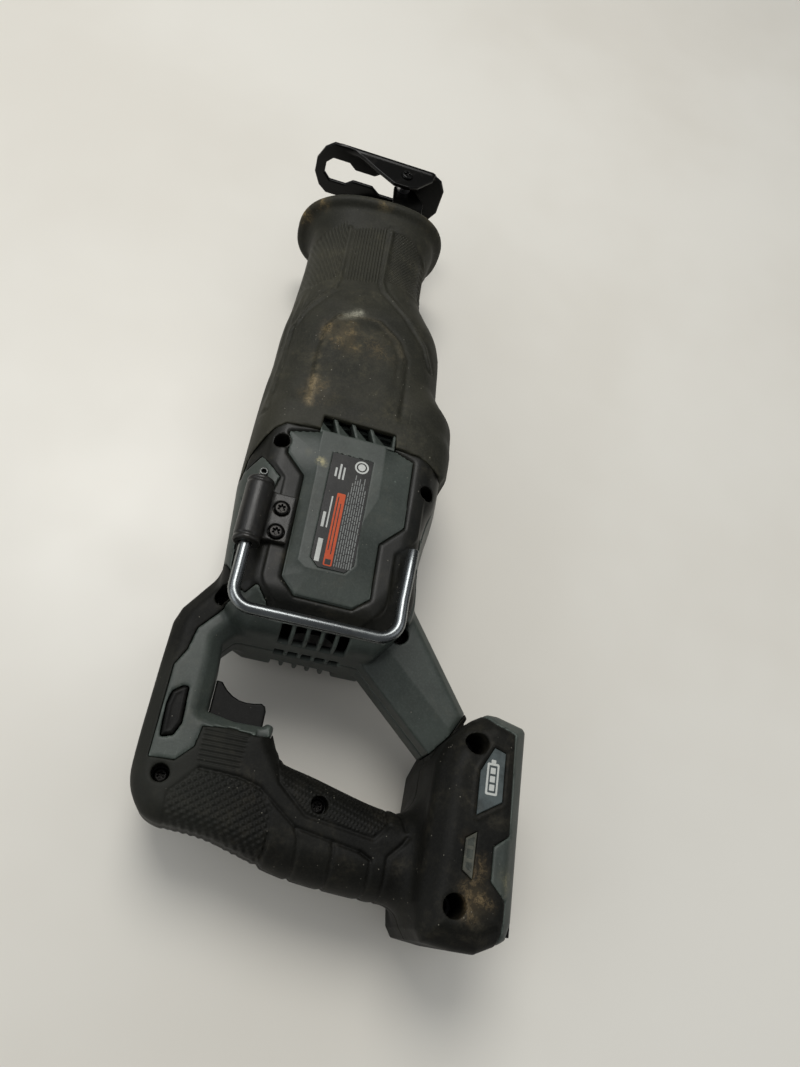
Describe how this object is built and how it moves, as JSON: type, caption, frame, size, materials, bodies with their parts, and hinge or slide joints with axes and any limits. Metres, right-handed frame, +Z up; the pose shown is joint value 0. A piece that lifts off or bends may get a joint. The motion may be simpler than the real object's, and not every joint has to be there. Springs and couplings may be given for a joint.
{
  "type": "cordless reciprocating saw",
  "caption": "Cordless reciprocating saw without its battery: D handle with trigger, motor body, rubber nose boot, blade clamp, tilting shoe and fold-out wire hanging hook.",
  "frame": {"origin": "centre of the battery rail mouth, on the underside of the foot under the D handle", "axes": "+X forward along the blade's stroke, +Z up from the foot through the grip, +Y to the operator's left; the hanging hook is on the -Y side"},
  "size_m": [0.448, 0.0948, 0.1705],
  "materials": {
    "housing_gray": "satin",
    "rubber_black": "matte",
    "boot_rubber": "matte",
    "black_plastic": "satin",
    "black_steel": "gloss",
    "zinc_wire": "bright zinc",
    "steel": "machined",
    "hard_steel": "ground",
    "cast_aluminium": "cast",
    "screw_black": "satin",
    "lamination": "matte",
    "copper": "enamelled",
    "fan_nylon": "matte",
    "label_film": "satin",
    "badge_gray": "satin",
    "clear_lens": "gloss",
    "board": "satin",
    "potting": "gloss",
    "bush_bronze": "sintered",
    "seal_rubber": "matte",
    "lead_insulation": "matte",
    "contact_brass": "plated"
  },
  "bodies": {
    "housing": {"housing_right": "housing_gray", "housing_left": "housing_gray", "grip_overmould_right": "rubber_black", "grip_overmould_left": "rubber_black", "side_overmould_right": "rubber_black", "side_overmould_left": "rubber_black", "rating_label": "label_film", "indicator_bezel": "badge_gray", "indicator_windows": "clear_lens", "voltage_badges": "badge_gray", "housing_screws": "screw_black", "nose_boot": "boot_rubber", "gear_case": "cast_aluminium", "gear_case_lid": "cast_aluminium", "lid_screws": "screw_black", "rear_plunger_bush": "bush_bronze", "front_plunger_bush": "bush_bronze", "plunger_seal": "seal_rubber", "lamp_lenses": "clear_lens", "lamp_boards": "board", "stator": "lamination", "stator_windings": "copper", "rear_motor_bearing": "hard_steel", "front_motor_bearing": "hard_steel", "crank_bearing": "hard_steel", "switch_module": "black_plastic", "control_module": "potting", "battery_rails": "black_plastic", "terminal_block": "black_plastic", "terminal_blades": "contact_brass", "battery_leads": "lead_insulation", "motor_leads": "lead_insulation", "hook_bracket": "black_steel", "hook_screws": "screw_black"},
    "rotor": {"rotor_core": "lamination", "motor_shaft": "hard_steel", "cooling_fan": "fan_nylon", "bevel_pinion": "hard_steel"},
    "crank": {"bevel_gear": "hard_steel", "crank_axle": "hard_steel", "crank_pin": "hard_steel", "crank_roller": "hard_steel"},
    "plunger": {"plunger": "steel", "blade_pin": "hard_steel", "clamp_retaining_ring": "steel"},
    "clamp_collar": {"clamp_collar": "black_steel"},
    "shoe_post": {"shoe_post": "black_steel", "shoe_pin": "hard_steel", "shoe_spacers": "steel"},
    "shoe_plate": {"shoe_plate": "black_steel"},
    "shoe_release": {"shoe_release_pin": "steel", "shoe_release_button": "black_plastic"},
    "trigger": {"trigger": "black_plastic"},
    "lock_button": {"lock_button": "black_plastic"},
    "hook": {"hook_wire": "zinc_wire", "hook_end_clip": "steel"}
  },
  "joints": [
    {"name": "plunger_slide", "type": "slide", "parent": "housing", "child": "plunger", "axis": [1, 0, 0], "range_m": [0, 0.0286]},
    {"name": "crank_turn", "type": "hinge", "parent": "housing", "child": "crank", "pos_m": [0.196, 0, 0.105], "axis": [0, 0, 1], "range_deg": [0, 180.2]},
    {"name": "rotor_turn", "type": "hinge", "parent": "housing", "child": "rotor", "pos_m": [0.118, 0, 0.105], "axis": [1, 0, 0], "range_deg": [0, 901]},
    {"name": "collar_twist", "type": "hinge", "parent": "plunger", "child": "clamp_collar", "pos_m": [0.3165, 0, 0.13], "axis": [1, 0, 0], "range_deg": [0, 60], "stiffness_Nm_per_rad": 0.02},
    {"name": "post_slide", "type": "slide", "parent": "housing", "child": "shoe_post", "axis": [1, 0, 0], "range_m": [-0.006, 0.012]},
    {"name": "shoe_tilt", "type": "hinge", "parent": "shoe_post", "child": "shoe_plate", "pos_m": [0.3875, 0, 0.107], "axis": [0, 1, 0], "range_deg": [-15, 25]},
    {"name": "release_press", "type": "slide", "parent": "housing", "child": "shoe_release", "axis": [0, -1, 0], "range_m": [0, 0.0025], "stiffness_N_per_m": 600},
    {"name": "trigger_pull", "type": "slide", "parent": "housing", "child": "trigger", "axis": [-1, 0, 0], "range_m": [0, 0.007], "stiffness_N_per_m": 500},
    {"name": "lock_push", "type": "slide", "parent": "housing", "child": "lock_button", "axis": [0, -1, 0], "range_m": [0, 0.003]},
    {"name": "hook_swing", "type": "hinge", "parent": "housing", "child": "hook", "pos_m": [0.115, -0.0452, 0.1465], "axis": [-1, 0, 0], "range_deg": [0, 110]}
  ],
  "couplings": [
    {"joint": "crank_turn", "follows": "plunger_slide", "rad_per_m": 109.85},
    {"joint": "rotor_turn", "follows": "plunger_slide", "rad_per_m": 549.23}
  ]
}
